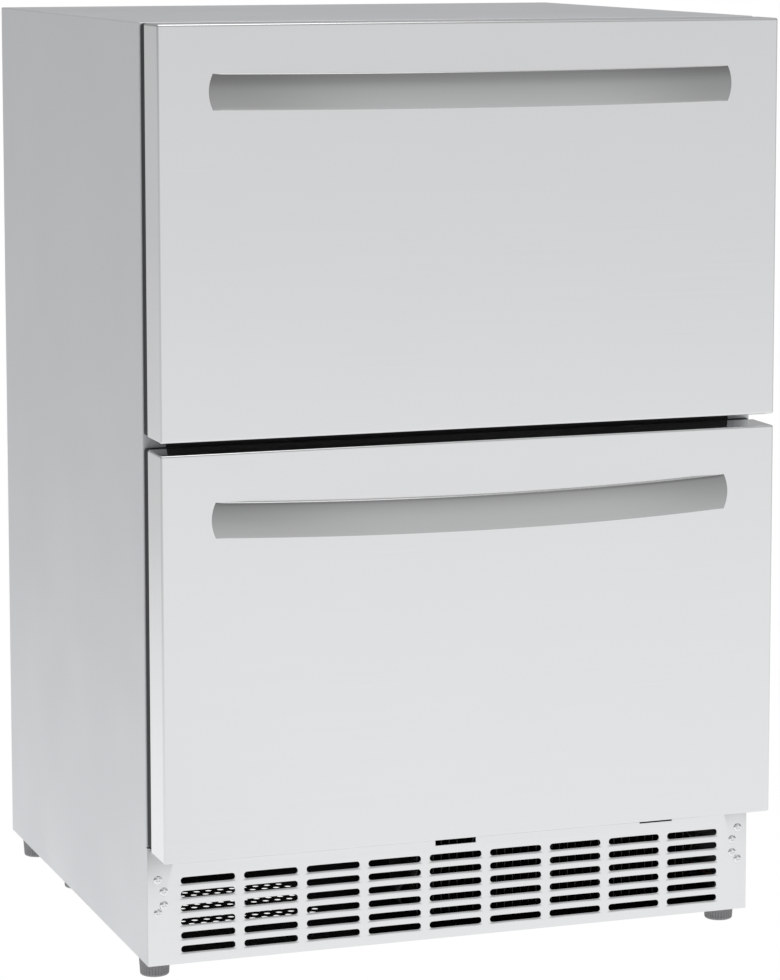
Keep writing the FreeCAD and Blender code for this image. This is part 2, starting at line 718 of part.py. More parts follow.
def gasket(drawer):
    """Magnetic seal round the back of the drawer front, waisted by a groove."""
    low, high = drawer["front"]
    low = max(low + GASKET_INSET, GRILLE_TOP + 0.3)
    high -= GASKET_INSET
    x, y = FRONT_HALF - GASKET_INSET, (FRONT_Y[1], GASKET_BACK)

    def loop(inset, width, depth):
        outer = block(both(x - inset), depth, (low + inset, high - inset))
        reach = inset + width
        return outer.cut(block(both(x - reach), depth, (low + reach, high - reach)))

    foot_strip = loop(2.5, GASKET_WIDTH - 5, (y[0], y[0] + 2.5))
    bulb = loop(1.5, GASKET_WIDTH - 3, (y[0] + 2.5, y[1] - 3))
    magnet_strip = loop(0, GASKET_WIDTH, (y[1] - 3, y[1]))
    return foot_strip.fuse([bulb, magnet_strip])


def handle(drawer):
    """Bow handle: an arc in plan with a slightly crowned face, cut off by the drawer's front."""
    radius = (HANDLE_HALF**2 + HANDLE_PROUD**2) / (2 * HANDLE_PROUD)
    gap_radius = (HANDLE_GAP_HALF**2 + HANDLE_GAP**2) / (2 * HANDLE_GAP)
    half = HANDLE_HEIGHT / 2
    level, face = drawer["handle"], FRONT_Y[0]
    edge = radius - HANDLE_CROWN
    outline = [
        Part.LineSegment(Vector(0, 0, half), Vector(0, 0, -half)),
        Part.LineSegment(Vector(0, 0, -half), Vector(edge, 0, -half)),
        Part.Arc(Vector(edge, 0, -half), Vector(radius, 0, 0), Vector(edge, 0, half)),
        Part.LineSegment(Vector(edge, 0, half), Vector(0, 0, half)),
    ]
    section = Part.Face(Part.Wire([piece.toShape() for piece in outline]))
    disc = section.revolve(Vector(0, 0, 0), Vector(0, 0, 1), 360)
    disc.translate(Vector(0, face - HANDLE_PROUD + radius, level))
    strip = block(both(HANDLE_HALF + 5), (face - HANDLE_PROUD - 5, face), (level - half, level + half))
    gap_axis = (0, face - HANDLE_GAP + gap_radius)
    gap = rod_z(gap_radius, gap_axis, (level - half - 1, level + half + 1))
    bow = Part.Solid(disc).common(strip).cut(gap)
    screws = [
        rod_y(2.7, (x, level), (face - 6.5, face + 1)) for x in (-HANDLE_SCREW_X, HANDLE_SCREW_X)
    ]
    return bow.cut(screws)


def handle_screws(drawer):
    """Two long screws that hold the handle from behind the drawer front."""
    screws = []
    for x in (-HANDLE_SCREW_X, HANDLE_SCREW_X):
        centre = (x, drawer["handle"])
        shank = rod_y(2.4, centre, (FRONT_Y[0] - 6, 0))
        screws.append(shank.fuse(rod_y(4.5, centre, (0, 3.5))))
    return Part.makeCompound(screws)


def drawer_box(drawer, stepped):
    """Open-topped drawer box; the bottom one has a raised floor at the back, over the hump."""
    z = drawer["box"]
    wall = BOX_WALL

    def outer(grow, top):
        step = BOX_STEP_Y - grow if stepped else BOX_BACK - grow
        x = both(BOX_HALF - grow)
        deep = block(x, (PLUG_BACK + grow, step), (z[0] + grow, top))
        if not stepped:
            return deep
        return deep.fuse(block(x, (step - 1, BOX_BACK - grow), (BOX_STEP_Z + grow, top)))

    return outer(0, z[1]).cut(outer(wall, z[1] + 5)).removeSplitter()


# ---- assembly ----
def cabinet_parts():
    """Every piece of the cabinet and its cooling system, by node name."""
    makers = (
        outer_wrapper, rear_panel, rear_vent_cover, base_pan, compartment_roof, foam_insulation,
        inner_liner, centre_mullion, front_grille, panel_screws, compressor, compressor_mounts,
        compressor_terminal_cover, condenser_coil, condenser_fan_motor, condenser_fan_shroud,
        condenser_fan_blade, drain_pan, filter_drier, refrigerant_lines, power_inlet,
        evaporator_coil, evaporator_cover, evaporator_fan_motor, evaporator_fan_blade,
        interior_light, control_housing, control_knob,
    )
    parts = {maker.__name__: maker() for maker in makers}
    for name, centre in foot_centres().items():
        parts[name] = foot(centre)
    return parts


def drawer_parts(name, drawer):
    """Every piece of one drawer and its two slides, by node name."""
    parts = {
        f"{name}_front_skin": front_skin(drawer),
        f"{name}_front_core": front_core(drawer),
        f"{name}_front_inner": front_inner(drawer),
        f"{name}_gasket": gasket(drawer),
        f"{name}_handle": handle(drawer),
        f"{name}_handle_screws": handle_screws(drawer),
        f"{name}_drawer_box": drawer_box(drawer, stepped=name == "bottom"),
    }
    for hand, side in (("left", -1), ("right", 1)):
        parts[f"{name}_cabinet_rail_{hand}"] = cabinet_rail(side, drawer["slide"])
        parts[f"{name}_middle_rail_{hand}"] = middle_rail(side, drawer["slide"])
        parts[f"{name}_drawer_rail_{hand}"] = drawer_rail(side, drawer["slide"])
    return parts


def main():
    os.makedirs("parts", exist_ok=True)
    parts = cabinet_parts()
    for name, drawer in DRAWERS.items():
        parts.update(drawer_parts(name, drawer))
    for name, shape in parts.items():
        shape.translate(Vector(0, -ORIGIN_Y, 0))
        shape.exportStep(f"parts/{name}.step")
        print(f"{name:28} solids {len(shape.Solids):3} valid {shape.isValid()} volume {shape.Volume:.0f}")


main()
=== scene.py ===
import math

import bmesh
import bpy
import numpy as np
from bpy.props import FloatProperty, FloatVectorProperty, IntProperty, PointerProperty
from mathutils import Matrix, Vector


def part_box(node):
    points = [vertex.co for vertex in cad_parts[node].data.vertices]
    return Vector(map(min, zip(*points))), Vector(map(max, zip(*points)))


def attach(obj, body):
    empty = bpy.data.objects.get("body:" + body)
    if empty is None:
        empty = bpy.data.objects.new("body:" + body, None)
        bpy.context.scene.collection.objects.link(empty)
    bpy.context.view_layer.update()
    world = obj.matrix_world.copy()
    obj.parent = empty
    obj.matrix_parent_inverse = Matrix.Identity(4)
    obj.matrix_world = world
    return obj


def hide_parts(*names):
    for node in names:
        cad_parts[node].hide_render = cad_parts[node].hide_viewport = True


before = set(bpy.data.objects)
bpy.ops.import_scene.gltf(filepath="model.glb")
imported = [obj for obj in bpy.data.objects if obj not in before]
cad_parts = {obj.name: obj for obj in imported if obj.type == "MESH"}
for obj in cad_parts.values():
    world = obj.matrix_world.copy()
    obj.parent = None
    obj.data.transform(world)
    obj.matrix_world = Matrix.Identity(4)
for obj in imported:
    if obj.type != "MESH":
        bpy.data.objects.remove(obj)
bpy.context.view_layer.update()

bl_info = {
    "name": "Under-Counter Drawer Fridge",
    "version": (1, 0, 0),
    "blender": (4, 5, 0),
    "location": "View3D > Sidebar > Drawer Fridge",
    "description": "Finishes and pressed, moulded and turned parts for a two-drawer refrigerator",
    "category": "Object",
}

MM = 0.001
DRAWERS = ("top", "bottom")
HANDS = ("left", "right")
FOOT_ROWS = ("front", "middle", "rear")

# In millimetres: a tab slot is its x from and to, then its z from and to; a screw is its x and z.
TAB_SLOTS = ((-20.0, 20.0, 104.9, 110.9), (186.3, 219.3, 108.6, 113.9))
GRILLE_SCREWS = ((288.0, 96.0), (282.4, 84.8), (282.4, 72.2), (288.0, 65.2))
COVER_SCREWS_ACROSS, COVER_SCREWS_UP = (-270, -90, 90, 270), (25.0, 192.5)


# ---------------------------------------------------------------- colour and node helpers
def linear(hex_colour):
    """An sRGB hex colour as linear red, green and blue."""
    channels = [int(hex_colour[i:i + 2], 16) / 255 for i in (1, 3, 5)]
    return tuple(c / 12.92 if c <= 0.04045 else ((c + 0.055) / 1.055) ** 2.4 for c in channels)


def add_node(tree, kind, values=(), links=(), stops=(), **settings):
    """Adds a shader node with its settings, its constant inputs, its incoming links and, on a
    colour ramp, its stops in rising order."""
    node = tree.nodes.new("ShaderNode" + kind)
    for name, value in settings.items():
        setattr(node, name, value)
    for socket, value in dict(values).items():
        node.inputs[socket].default_value = value
    for socket, source in dict(links).items():
        tree.links.new(source, node.inputs[socket])
    for index, (position, colour) in enumerate(stops):
        elements = node.color_ramp.elements
        stop = elements[index] if index < len(elements) else elements.new(position)
        stop.position, stop.color = position, (*colour, 1.0)
    return node


def new_surface(name, **constants):
    """An empty material with one Principled shader; returns material, tree, shader, coordinates."""
    material = bpy.data.materials.new(name)
    material.use_nodes = True
    tree = material.node_tree
    tree.nodes.clear()
    shader = add_node(tree, "BsdfPrincipled", constants)
    add_node(tree, "OutputMaterial", (), {"Surface": shader.outputs[0]})
    place = add_node(tree, "TexCoord").outputs["Object"]
    return material, tree, shader, place


def shades(colour, spread):
    """A colour made darker and lighter by a share."""
    return tuple(c * (1 - spread) for c in colour), tuple(c * (1 + spread) for c in colour)


def mottled_finish(name, colour, spread, roughness, tint, sheen=None, relief=None, depth=0.0,
                   streaked=False, **constants):
    """A finish that varies as soft noise does. tint, sheen and relief are patterns: the size of a
    cell in millimetres, or its three sizes along X, Y and Z, and the noise's detail. sheen and
    relief are the same as tint where they are left out. Colour follows tint, darker and lighter
    by the spread. Roughness follows sheen, between its two values, and where it is streaked it
    follows tint plus half of sheen. The surface rises with relief by the depth, in millimetres."""
    material, tree, shader, place = new_surface(name, **constants)
    sheen, relief = sheen or tint, relief or tint
    heights = {}
    for cell, detail in dict.fromkeys((tint, sheen, relief)):
        scale = [float(1 / (size * MM)) for size in np.broadcast_to(cell, 3)]
        mapped = add_node(tree, "Mapping", {"Scale": scale}, {"Vector": place})
        values = {"Scale": 1.0, "Detail": detail, "Roughness": 0.6}
        noise = add_node(tree, "TexNoise", values, {"Vector": mapped.outputs[0]})
        heights[cell, detail] = noise.outputs["Fac"]
    dark, light = shades(colour, spread)
    blend = add_node(tree, "ValToRGB", (), {"Fac": heights[tint]}, ((0.35, dark), (0.65, light)))
    tree.links.new(blend.outputs["Color"], shader.inputs["Base Color"])
    dulling, start, end = heights[sheen], 0.3, 0.7
    if streaked:
        half = add_node(tree, "Math", {1: 0.5}, {0: dulling, 2: heights[tint]},
                        operation="MULTIPLY_ADD")
        dulling, start, end = half.outputs[0], 0.45, 1.05
    span = {"From Min": start, "From Max": end, "To Min": roughness[0], "To Max": roughness[1]}
    dulled = add_node(tree, "MapRange", span, {"Value": dulling})
    tree.links.new(dulled.outputs[0], shader.inputs["Roughness"])
    if depth:
        rise = {"Strength": 1.0, "Distance": depth * MM}
        bump = add_node(tree, "Bump", rise, {"Height": heights[relief]})
        tree.links.new(bump.outputs[0], shader.inputs["Normal"])
    return material


# ---------------------------------------------------------------- materials
def brushed_steel(name, colour, spread, roughness, grain, depth):
    """Stainless steel brushed along one way: fine drawn lines, and a soft reflection that a cloud
    90 mm across makes a little uneven. Sizes are in millimetres."""
    return mottled_finish(name, colour, spread, (roughness - 0.02, roughness + 0.03),
                          (grain, 3.0), sheen=(90, 1.0), depth=depth, streaked=True, Metallic=1.0)


def satin_stainless_front(finish):
    """430 stainless sheet with a fine level brushing, nearly a mirror: a pale, even sheen. The
    real grain is about 0.1 mm apart; it is drawn at 0.7 mm so that it shows at all."""
    return brushed_steel("satin_stainless_sheet", finish.front_steel, 0.010, 0.16,
                         (160, 160, 0.7), 0.0004)


def brushed_stainless_handle(finish):
    """304 stainless bar brushed along its length: darker, with a tight highlight on its edges. The
    grain is drawn at 0.5 mm for the same reason as on the sheet."""
    return brushed_steel("brushed_stainless_bar", finish.handle_steel, 0.012, 0.20,
                         (120, 120, 0.5), 0.0008)


def rolled_and_lit_stainless_back(finish):
    """304 stainless bar as it left the rolls, where it is not brushed: bright and milky. The
    brightness is partly painted light, set near white to lighten the shade between the handle and
    the drawer front.
    """
    return mottled_finish("rolled_stainless_bar_painted_light", finish.bare_and_lit_steel, 0.015, (0.46, 0.56),
                          ((50, 4, 4), 2.0), Metallic=1.0)


def drawer_bin_steel(finish):
    """Pressed stainless of the drawer boxes: a plain mill finish, a little cloudy."""
    return mottled_finish("mill_finish_stainless_press", finish.bin_steel, 0.03, (0.25, 0.36),
                          (30, 4.0), Metallic=1.0)


def coated_cabinet_steel(finish):
    """Steel sheet with a baked silver-grey metallic coating: soft, half matt, with a fine
    orange-peel texture about 1.5 mm across."""
    coating = {"Metallic": 0.45, "Coat Weight": 0.12, "Coat Roughness": 0.35}
    return mottled_finish("silver_coil_coated_sheet", finish.cabinet_coat, 0.012, (0.42, 0.50),
                          (0.9, 1.0), sheen=(120, 1.0), relief=(1.5, 1.0), depth=0.006, **coating)


def galvanised_sheet(finish):
    """Hot-dip galvanised steel: zinc crystals 12 mm across, each its own grey."""
    material, tree, shader, place = new_surface("hot_dip_galvanised_sheet", Metallic=0.9)
    values = {"Scale": 1 / (12 * MM), "Randomness": 1.0}
    crystals = add_node(tree, "TexVoronoi", values, {"Vector": place}).outputs["Color"]
    tone = add_node(tree, "SeparateColor", (), {"Color": crystals}).outputs[0]
    dark, light = shades(finish.zinc, 0.14)
    blend = add_node(tree, "ValToRGB", (), {"Fac": tone}, ((0.0, dark), (1.0, light)))
    tree.links.new(blend.outputs["Color"], shader.inputs["Base Color"])
    dulled = add_node(tree, "MapRange", {"To Min": 0.36, "To Max": 0.55}, {"Value": tone})
    tree.links.new(dulled.outputs[0], shader.inputs["Roughness"])
    return material


def zinc_plated_rail(finish):
    """Bright zinc-plated, roll-formed steel with drawn lines along the rail."""
    return mottled_finish("bright_zinc_plated_steel", finish.zinc, 0.06, (0.22, 0.34),
                          ((0.8, 80, 0.8), 3.0), Metallic=1.0)


def nickel_screw(finish):
    """Nickel-plated screw steel: bright and smooth, with faint turning marks."""
    return mottled_finish("nickel_plated_screw_steel", finish.screw_steel, 0.05, (0.12, 0.22),
                          (0.4, 1.0), Metallic=1.0)


def powder_black(finish):
    """Black powder-coated steel: matt, with a fine pebbled skin 0.8 mm across."""
    return mottled_finish("black_powder_coated_sheet", finish.black_paint, 0.25, (0.55, 0.75),
                          (0.8, 2.0), depth=0.03, **{"Specular IOR Level": 0.25})


def black_enamel(finish):
    """Gloss black baked enamel of the compressor pot and condenser, with a slight flow."""
    return mottled_finish("black_baked_enamel", finish.black_paint, 0.2, (0.18, 0.30),
                          (6, 1.0), depth=0.04)


def moulded_plastic(name, colour, spread, roughness, grain, depth):
    """Moulded plastic with an eroded-tool grain of the given size and depth in millimetres."""
    return mottled_finish(name, colour, spread, (roughness - 0.06, roughness + 0.06),
                          (grain, 2.0), depth=depth, IOR=1.53)


def black_abs(finish):
    """Black ABS with a fine spark-eroded grain: dull, slightly soft highlights."""
    return moulded_plastic("black_moulded_abs", finish.black_plastic, 0.2, 0.5, 0.7, 0.02)


def white_hips(finish):
    """White vacuum-formed polystyrene of the liner: smooth, with a slight gloss."""
    return moulded_plastic("white_vacuum_formed_hips", finish.liner_white, 0.01, 0.3, 4, 0.02)


def white_abs(finish):
    """Warm white moulded ABS of the thermostat and the fan wheel."""
    return moulded_plastic("white_moulded_abs", finish.control_white, 0.015, 0.38, 0.8, 0.01)


def foot_nylon(finish):
    """Dark grey glass-filled nylon of the feet: matt and slightly mottled."""
    return moulded_plastic("grey_glass_filled_nylon", finish.foot_grey, 0.14, 0.62, 1.2, 0.06)


def mount_rubber(finish):
    """Black moulded natural rubber: matt, faintly dusty."""
    return moulded_plastic("black_moulded_rubber", finish.black_plastic, 0.3, 0.8, 3, 0.05)


def gasket_pvc(finish):
    """Extruded soft PVC seal in dark grey, with a faint bloom and a dusty skin."""
    return mottled_finish("dark_grey_extruded_pvc", finish.gasket_grey, 0.10, (0.42, 0.56),
                          (20, 2.0), relief=(0.9, 1.0), depth=0.01, IOR=1.53)


def drawn_copper(finish):
    """Drawn copper pipe with patches of brown oxide."""
    return mottled_finish("drawn_copper_pipe", finish.copper, 0.28, (0.22, 0.42),
                          (12, 4.0), Metallic=1.0)


def aluminium_fin(finish):
    """Thin rolled aluminium fin stock, bright with a dull film."""
    return mottled_finish("rolled_aluminium_fin_stock", finish.fin_aluminium, 0.08, (0.30, 0.45),
                          ((4, 4, 20), 2.0), Metallic=1.0)


def rigid_foam(finish):
    """Sprayed rigid polyurethane foam: pale yellow with cells about 2 mm across."""
    material, tree, shader, place = new_surface("sprayed_polyurethane_foam", Roughness=0.9)
    cells = add_node(tree, "TexVoronoi", {"Scale": 1 / (2 * MM)}, {"Vector": place})
    distance = cells.outputs["Distance"]
    dark, light = shades(finish.foam_yellow, 0.1)
    blend = add_node(tree, "ValToRGB", (), {"Fac": distance}, ((0.1, dark), (0.7, light)))
    tree.links.new(blend.outputs["Color"], shader.inputs["Base Color"])
    rise = {"Strength": 1.0, "Distance": 0.4 * MM}
    bump = add_node(tree, "Bump", rise, {"Height": distance})
    tree.links.new(bump.outputs[0], shader.inputs["Normal"])
    return material


def light_diffuser(finish):
    """Opal polycarbonate over the light bar: milky, with light let through below its skin."""
    return mottled_finish("opal_extruded_polycarbonate", finish.control_white, 0.02, (0.32, 0.42),
                          ((20, 4, 20), 1.0), **{"IOR": 1.58, "Subsurface Weight": 0.3})


def studio_white():
    """Floor that reads as white paper all over. What the fridge mirrors of it is brightest close
    by and falls off with distance, and away from the key side, as under a real soft light."""
    material = bpy.data.materials.new("studio_white_floor")
    material.use_nodes = True
    tree = material.node_tree
    tree.nodes.clear()
    place = add_node(tree, "TexCoord").outputs["Object"]
    distance = add_node(tree, "VectorMath", (), {0: place}, operation="LENGTH").outputs["Value"]
    falling = {"From Min": 0.3, "From Max": 8.0, "To Min": 1.06, "To Max": 0.87}
    near = add_node(tree, "MapRange", falling, {"Value": distance}).outputs[0]
    opening = {"From Min": 0.35, "From Max": 2.8, "To Min": 0.0, "To Max": 1.0}
    apart = add_node(tree, "MapRange", opening, {"Value": distance}).outputs[0]
    side = key_side(tree, place)
    drop = add_node(tree, "Math", {1: -1.0}, {0: side}, operation="ADD").outputs[0]
    share = add_node(tree, "Math", {2: 1.0}, {0: drop, 1: apart}, operation="MULTIPLY_ADD")
    tone = add_node(tree, "Math", (), {0: near, 1: share.outputs[0]}, operation="MULTIPLY")
    seen_white(tree, "Emission", "OutputMaterial", tone.outputs[0])
    return material


def seen_white(tree, glow, output, tone):
    """Ends a tree that glows white to the camera and by its tone to everything else."""
    white = {"Color": (1, 1, 1, 1), "Strength": 1.0}
    toned = add_node(tree, glow, white, {"Strength": tone})
    paper = add_node(tree, glow, white)
    seen = add_node(tree, "LightPath").outputs["Is Camera Ray"]
    mix = add_node(tree, "MixShader", (), {0: seen, 1: toned.outputs[0], 2: paper.outputs[0]})
    add_node(tree, output, (), {"Surface": mix.outputs[0]})


def key_side(tree, vector):
    """Share of the room's light that comes from a level direction: full towards the front and a
    little right, where the soft light stands, and less all round the rest."""
    flat, towards_key = (1, 1, 0), (0.342, -0.940, 0)
    level = add_node(tree, "VectorMath", {1: flat}, {0: vector}, operation="MULTIPLY").outputs[0]
    facing = add_node(tree, "VectorMath", (), {0: level}, operation="NORMALIZE").outputs[0]
    towards = add_node(tree, "VectorMath", {1: towards_key}, {0: facing}, operation="DOT_PRODUCT")
    shares = {"From Min": 0.80, "From Max": 0.98, "To Min": 0.73, "To Max": 1.0}
    share = add_node(tree, "MapRange", shares, {"Value": towards.outputs["Value"]},
                     interpolation_type="SMOOTHSTEP")
    return share.outputs[0]


MATERIALS = {}


def finish_of(maker):
    """The material that a maker function gives, made once."""
    if maker not in MATERIALS:
        MATERIALS[maker] = maker(bpy.context.scene.fridge_finish)
    return MATERIALS[maker]


# ---------------------------------------------------------------- mesh helpers
def grid_quads(rows, columns, close_rows=False, close_columns=False):
    """Quads that join a grid of points numbered row by row, closed either way round if asked."""
    i = np.arange(rows if close_rows else rows - 1)[:, None]
    j = np.arange(columns if close_columns else columns - 1)[None, :]
    down, across = (i + 1) % rows, (j + 1) % columns
    corners = (i * columns + j, i * columns + across, down * columns + across, down * columns + j)
    return np.stack(np.broadcast_arrays(*corners), -1).reshape(-1, 4)


def build_piece(name, shells, smooth_degrees=35.0):
    """One mesh object from shells of (points, list of face arrays); faces are turned outwards."""
    points, faces, start = [], [], 0
    for shell_points, shell_faces in shells:
        points.append(np.asarray(shell_points, float).reshape(-1, 3))
        for array in shell_faces:
            faces.extend((np.asarray(array) + start).tolist())
        start += len(points[-1])
    mesh = bpy.data.meshes.new(name)
    mesh.from_pydata(np.concatenate(points).tolist(), [], faces)
    mesh.validate()
    piece = bpy.data.objects.new(name, mesh)
    bpy.context.scene.collection.objects.link(piece)
    clean_mesh(piece)
    mesh.shade_smooth()
    mesh.set_sharp_from_angle(angle=math.radians(smooth_degrees))
    return piece


def clean_mesh(piece):
    """Merges points that meet and turns every face outwards, which gives a closed shape a volume
    above zero."""
    work = bmesh.new()
    work.from_mesh(piece.data)
    bmesh.ops.remove_doubles(work, verts=work.verts, dist=0.01 * MM)
    bmesh.ops.recalc_face_normals(work, faces=work.faces)
    if work.calc_volume(signed=True) < 0:
        bmesh.ops.reverse_faces(work, faces=work.faces)
    work.to_mesh(piece.data)
    work.free()


def add_modifier(piece, kind, **settings):
    """Adds a modifier with its settings."""
    modifier = piece.modifiers.new(kind.title(), kind)
    for name, value in settings.items():
        setattr(modifier, name, value)
    return modifier


def hand_over(piece, maker, body, slot, *nodes):
    """Gives a piece its material and its body, and hides the CAD nodes it stands for. The slot is
    not used.
    """
    piece.data.materials.append(finish_of(maker))
    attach(piece, body)
    if nodes:
        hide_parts(*nodes)
    return piece


def rounded_loop(low, high, radius, inset, steps=6):
    """A rectangle from low to high in two axes, moved in by inset, with round corners. Each
    corner is a quarter circle of the radius less the inset. Returns an array of (a, b) points."""
    low, high = np.asarray(low, float) + inset, np.asarray(high, float) - inset
    r = max(radius - inset, 0.001 * MM)
    turn = np.linspace(0, math.pi / 2, steps)
    arc = r * np.stack([np.cos(turn), np.sin(turn)], -1)
    quarter = [
        (high - r, 1, 1, False), ((low[0] + r, high[1] - r), -1, 1, True),
        (low + r, -1, -1, False), ((high[0] - r, low[1] + r), 1, -1, True),
    ]
    loops = []
    for centre, a_sign, b_sign, reverse in quarter:
        corner = arc[::-1] if reverse else arc
        loops.append(np.asarray(centre) + corner * (a_sign, b_sign))
    return np.concatenate(loops)


def loop_shell(profile, low, high, radius, axis="y", cap_start=False, cap_end=False):
    """A profile of (inset, depth) pairs carried round a round-cornered rectangle. Each pair gives
    one loop of the rectangle, moved in by the inset, at that depth along the axis."""
    rings = []
    for inset, depth in profile:
        loop = rounded_loop(low, high, radius, inset)
        level = np.full(len(loop), depth)
        order = (loop[:, 0], level, loop[:, 1]) if axis == "y" else (loop[:, 0], loop[:, 1], level)
        rings.append(np.stack(order, -1))
    count = len(rings[0])
    faces = [grid_quads(len(rings), count, close_columns=True)]
    if cap_start:
        faces.append(np.arange(count)[None, :])
    if cap_end:
        faces.append((np.arange(count) + (len(rings) - 1) * count)[None, :])
    return np.concatenate(rings), faces


def bend(radius, centre, start_degrees, end_degrees, steps=6):
    """Points of a circular bend in a profile, from one angle to another about a centre."""
    turn = np.radians(np.linspace(start_degrees, end_degrees, steps))
    return [(centre[0] + radius * math.cos(t), centre[1] + radius * math.sin(t)) for t in turn]


# ---------------------------------------------------------------- cabinet shell
def cabinet_shell(sizes):
    """Wrapped sheet of the cabinet. A profile runs forward along the side, round the front bend
    and in along the flange, then back inside at one sheet's thickness; it is carried up one side,
    over the top and down the other, with mitred flanges and round shoulders."""
    low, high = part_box("outer_wrapper")
    grille_low, grille_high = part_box("front_grille")
    sheet, flange, rolled = 1 * MM, 22 * MM, 0.4 * MM
    r = sizes.sheet_bend
    foot_line, front = grille_high.z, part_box("centre_mullion")[0].y
    inner = max(r - sheet, 0.2 * MM)
    inside = front + sheet
    profile = [(0, high.y), (0, front + r + 1 * MM)]
    profile += bend(r, (r, front + r), 180, 270)
    profile += [(r + 1 * MM, front), (flange - rolled, front)]
    profile += bend(rolled, (flange - rolled, front + rolled), 270, 360, 3)
    profile += [(flange, inside), (r + 1 * MM, inside)]
    profile += bend(inner, (sheet + inner, inside + inner), 270, 180, 4)
    profile += [(sheet, high.y)]
    rings = [mitred_arch(high, foot_line, r, inset, depth) for inset, depth in profile]
    count = len(rings[0])
    ends = np.arange(len(rings)) * count
    faces = [grid_quads(len(rings), count, close_rows=True)]
    faces += [ends[None, :], (ends + count - 1)[None, ::-1]]
    shells = [(np.concatenate(rings), faces)]
    behind_grille = grille_low.y + 1.2 * MM
    for side in (-1, 1):
        x0, x1 = sorted((side * high.x, side * (high.x - sheet)))
        shells.append(side_apron((x0, behind_grille, low.z), (x1, high.y, foot_line)))
    return build_piece("cabinet_shell", shells, 30)


def mitred_arch(high, foot_line, radius, inset, depth):
    """One line of the wrapper at a depth: up one side, over the top and down the other, moved in
    by the inset, with shoulders of the given radius less the inset."""
    r = max(radius - inset, 0.01 * MM)
    turn = np.linspace(0, math.pi / 2, 7)
    x, z = high.x - inset, high.z - inset
    right = np.stack([x - r + r * np.cos(turn), z - r + r * np.sin(turn)], -1)
    left = right[::-1] * (-1, 1)
    ends = np.array([[x, foot_line]])
    arch = np.concatenate([ends, right, left, ends * (-1, 1)])
    return np.stack([arch[:, 0], np.full(len(arch), depth), arch[:, 1]], -1)


def side_apron(low, high):
    """The side sheet beside the grille, as a closed six-sided block whose broad faces look
    along X."""
    spans = zip(low, high)
    corners = np.stack(np.meshgrid(*spans, indexing="ij"), -1).reshape(-1, 3)
    faces = [[0, 1, 3, 2], [4, 6, 7, 5], [0, 4, 5, 1], [2, 3, 7, 6], [0, 2, 6, 4], [1, 5, 7, 3]]
    return corners, [np.array(faces)]


# ---------------------------------------------------------------- grille
def slot_cell(centre, pitch, length, height, straight=10, turn=8):
    """A rectangle of sheet round one stadium slot. Its rim points are the rectangle's, spaced
    evenly along each side, and each is joined to a point of the slot: the short sides to its
    half circles and the long sides to its straight runs."""
    r, reach = height / 2, (length - height) / 2
    angles = np.linspace(-math.pi / 2, math.pi / 2, turn + 1)[:-1]
    round_end = np.stack([reach + r * np.cos(angles), r * np.sin(angles)], -1)
    run = np.stack([np.linspace(reach, -reach, straight + 1)[:-1], np.full(straight, r)], -1)
    slot = np.concatenate([round_end, run, -round_end, -run])
    a, b = pitch[0] / 2, pitch[1] / 2
    up = np.stack([np.full(turn, a), np.linspace(-b, b, turn + 1)[:-1]], -1)
    back = np.stack([np.linspace(a, -a, straight + 1)[:-1], np.full(straight, b)], -1)
    rim = np.concatenate([up, back, -up, -back])
    rings = np.stack([rim, slot]) + centre
    return rings, grid_quads(2, len(slot), close_columns=True)


def rectangle_patch(x_lines, z_lines, holes=()):
    """Rectangles between grid lines, without those whose middle lies in a hole."""
    quads, points = [], []
    for x0, x1 in zip(x_lines, x_lines[1:]):
        for z0, z1 in zip(z_lines, z_lines[1:]):
            x, z = (x0 + x1) / 2, (z0 + z1) / 2
            if any(h[0] < x < h[1] and h[2] < z < h[3] for h in holes):
                continue
            quads.append(np.arange(4) + len(points))
            points += [(x0, z0), (x1, z0), (x1, z1), (x0, z1)]
    return np.array(points), np.array(quads)


def front_grille(sizes):
    """Punched plate: a grid of slot cells with plain strips round it, given the sheet's thickness
    behind, and punched edges rolled slightly over."""
    low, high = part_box("front_grille")
    columns, rows = sizes.slot_columns, sizes.slot_rows
    pitch = (sizes.slot_pitch_across, sizes.slot_pitch_down)
    half_grid = columns * pitch[0] / 2
    top = sizes.slot_top_row + pitch[1] / 2
    bottom = top - rows * pitch[1]
    shells = []
    for column in range(columns):
        for row in range(rows):
            centre = ((column + 0.5) * pitch[0] - half_grid, top - (row + 0.5) * pitch[1])
            rings, faces = slot_cell(centre, pitch, sizes.slot_length, sizes.slot_height)
            shells.append((plate_points(rings.reshape(-1, 2), low.y), [faces]))
    tabs = [[edge * MM for edge in tab] for tab in TAB_SLOTS]
    tab_x = [-half_grid, *sorted({edge for tab in tabs for edge in tab[:2]}), half_grid]
    tab_z = [*sorted({edge for tab in tabs for edge in tab[2:]}), high.z]
    rim_x = np.linspace(-half_grid, half_grid, columns * 10 + 1)
    rim_z = np.linspace(bottom, top, rows * 8 + 1)
    edge_z = np.concatenate([[low.z], rim_z, tab_z])
    strips = [
        outline_points((rim_x, bottom), ([-half_grid, half_grid], low.z)),
        outline_points((rim_x, top), (tab_x, tab_z[0])),
        outline_points((edge_z, -half_grid), ([low.z, high.z], low.x))[:, ::-1],
        outline_points((edge_z, half_grid), ([low.z, high.z], high.x))[:, ::-1],
    ]
    for points in strips:
        shells.append((plate_points(points, low.y), [np.arange(len(points))[None, :]]))
    points, quads = rectangle_patch(tab_x, tab_z, tabs)
    shells.append((plate_points(points, low.y), [quads]))
    piece = build_piece("front_grille_plate", shells)
    face_forward(piece)
    add_modifier(piece, "SOLIDIFY", thickness=1.2 * MM, offset=-1.0)
    add_modifier(piece, "BEVEL", width=0.5 * MM, segments=2, limit_method="ANGLE",
                 angle_limit=math.radians(60))
    return piece


